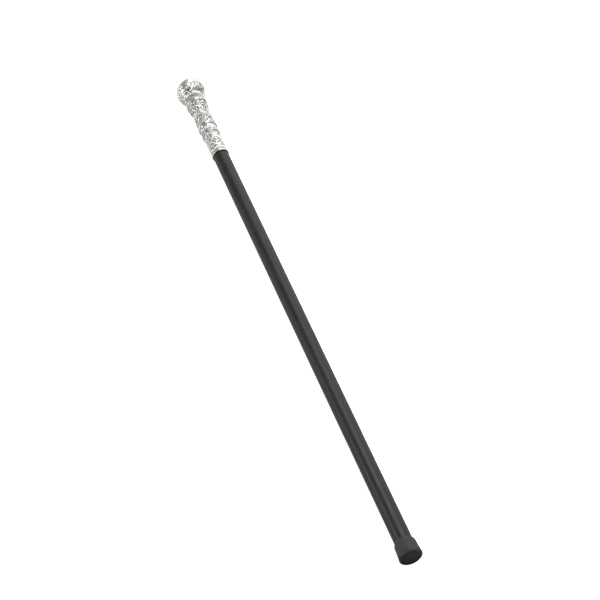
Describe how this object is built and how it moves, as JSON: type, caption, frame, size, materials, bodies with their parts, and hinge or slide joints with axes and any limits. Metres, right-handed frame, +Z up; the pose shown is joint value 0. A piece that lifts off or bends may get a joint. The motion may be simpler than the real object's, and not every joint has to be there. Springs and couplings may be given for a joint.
{
  "type": "magician's cane",
  "caption": "Straight black cane with a round embossed silver knob handle that unscrews and a push-on rubber tip, lying on its side.",
  "frame": {"origin": "under the middle of the cane's length, on the plane that the knob rests on", "axes": "+X along the shaft from the knob to the ferrule, +Z up"},
  "size_m": [0.914, 0.0434, 0.0434],
  "materials": {
    "polished_silver": "polished, lightly worn silver plate",
    "embossed_silver": "embossed silver plate, dark in the hollows",
    "steel": "plain machined steel",
    "brass": "turned brass",
    "core_wood": "raw turned beech",
    "black_lacquer": "black satin lacquer on hardwood",
    "fibre": "dark pressed fibre",
    "rubber": "matt moulded rubber"
  },
  "bodies": {
    "shaft": {"shaft": "black_lacquer", "shaft_stud": "steel"},
    "collar": {"collar_ring": "polished_silver", "fibre_washer": "fibre"},
    "handle": {"knob_crown": "polished_silver", "knob_bowl": "embossed_silver", "knob_core": "core_wood", "crown_nut": "steel", "crown_washer": "steel", "tie_rod": "steel", "neck_ring": "polished_silver", "upper_sleeve": "embossed_silver", "waist_ring": "polished_silver", "grip_sleeve": "embossed_silver", "band_ring_upper": "polished_silver", "middle_band": "embossed_silver", "band_ring_lower": "polished_silver", "lower_sleeve": "embossed_silver", "handle_core": "core_wood", "threaded_socket": "brass"},
    "ferrule": {"rubber_ferrule": "rubber", "ferrule_washer": "steel"}
  },
  "joints": [
    {"name": "collar_lift", "type": "slide", "parent": "shaft", "child": "collar", "axis": [-1, 0, 0], "range_m": [0, 0.018]},
    {"name": "handle_turn", "type": "hinge", "parent": "collar", "child": "handle", "pos_m": [-0.29, 0, 0.0217], "axis": [-1, 0, 0], "range_deg": [0, 4320]},
    {"name": "ferrule_pull", "type": "slide", "parent": "shaft", "child": "ferrule", "axis": [1, 0, 0], "range_m": [0, 0.02]}
  ],
  "couplings": [
    {"joint": "handle_turn", "follows": "collar_lift", "rad_per_m": 4188.8}
  ]
}
